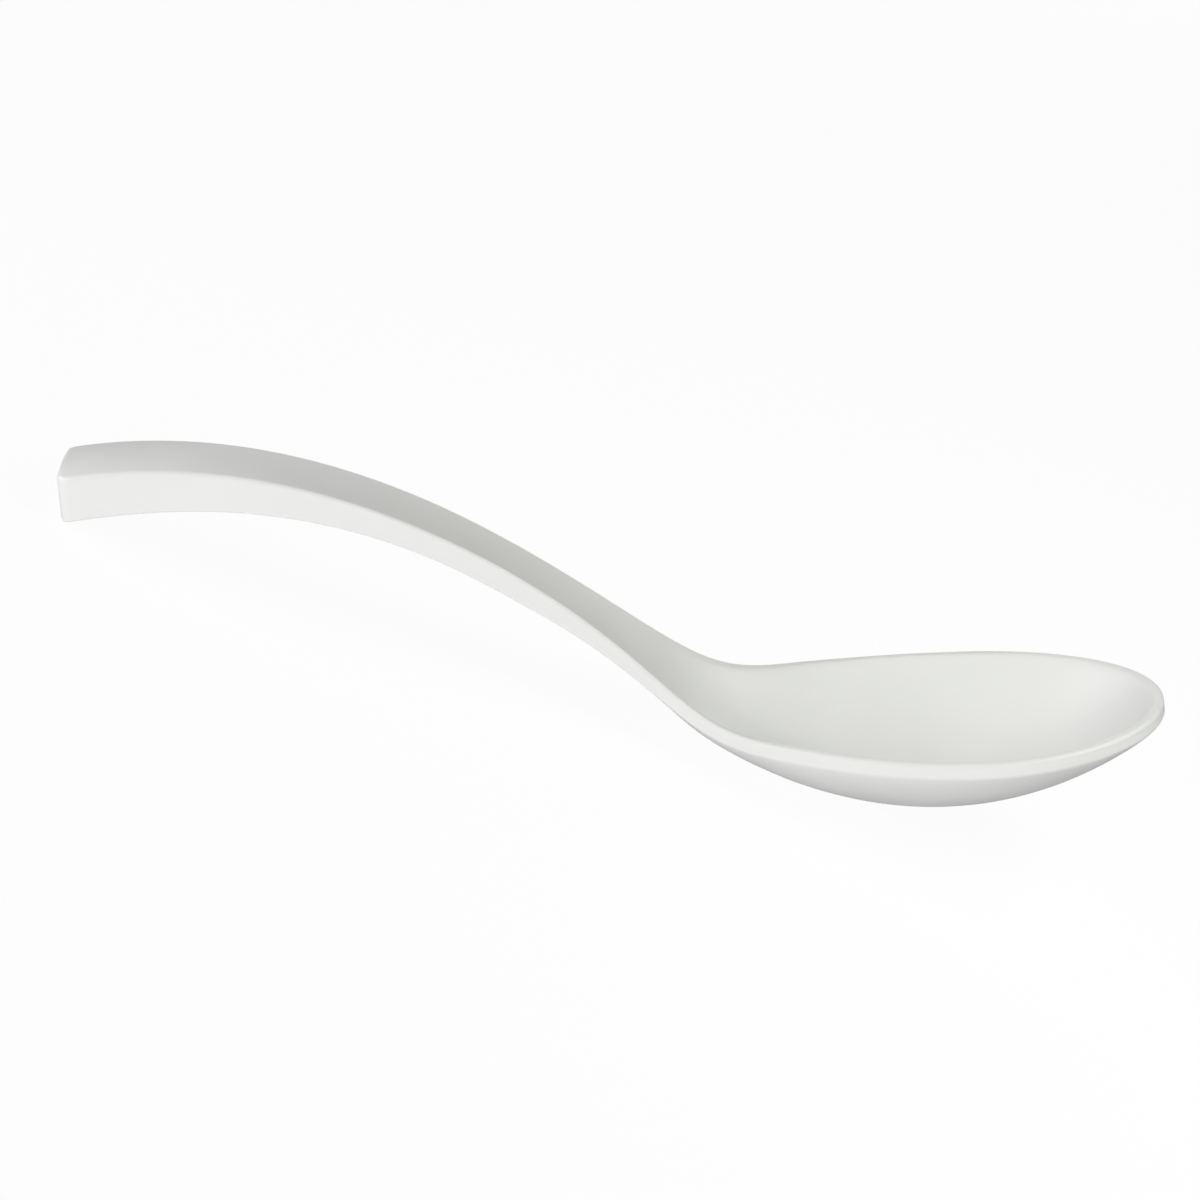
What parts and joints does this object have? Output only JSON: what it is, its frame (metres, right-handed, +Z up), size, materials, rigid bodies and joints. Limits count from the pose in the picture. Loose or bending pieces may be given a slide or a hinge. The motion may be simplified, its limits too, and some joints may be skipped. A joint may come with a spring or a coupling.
{
  "type": "salad serving spoon",
  "caption": "Moulded white serving spoon with a deep oval bowl, a thick banded rim and an arched, flat-sided handle for lifting and serving salad.",
  "frame": {"origin": "middle of the spoon's length and width, on the table it lies on", "axes": "+X along the spoon towards the tip of the bowl, +Z up from the table, the spoon mirror-symmetric about Y = 0"},
  "size_m": [0.2506, 0.066, 0.0472],
  "materials": {
    "white_melamine": "smooth moulded melamine, soft gloss, very slightly warm white"
  },
  "bodies": {
    "root": {"bowl": "white_melamine", "handle": "white_melamine"}
  },
  "joints": []
}
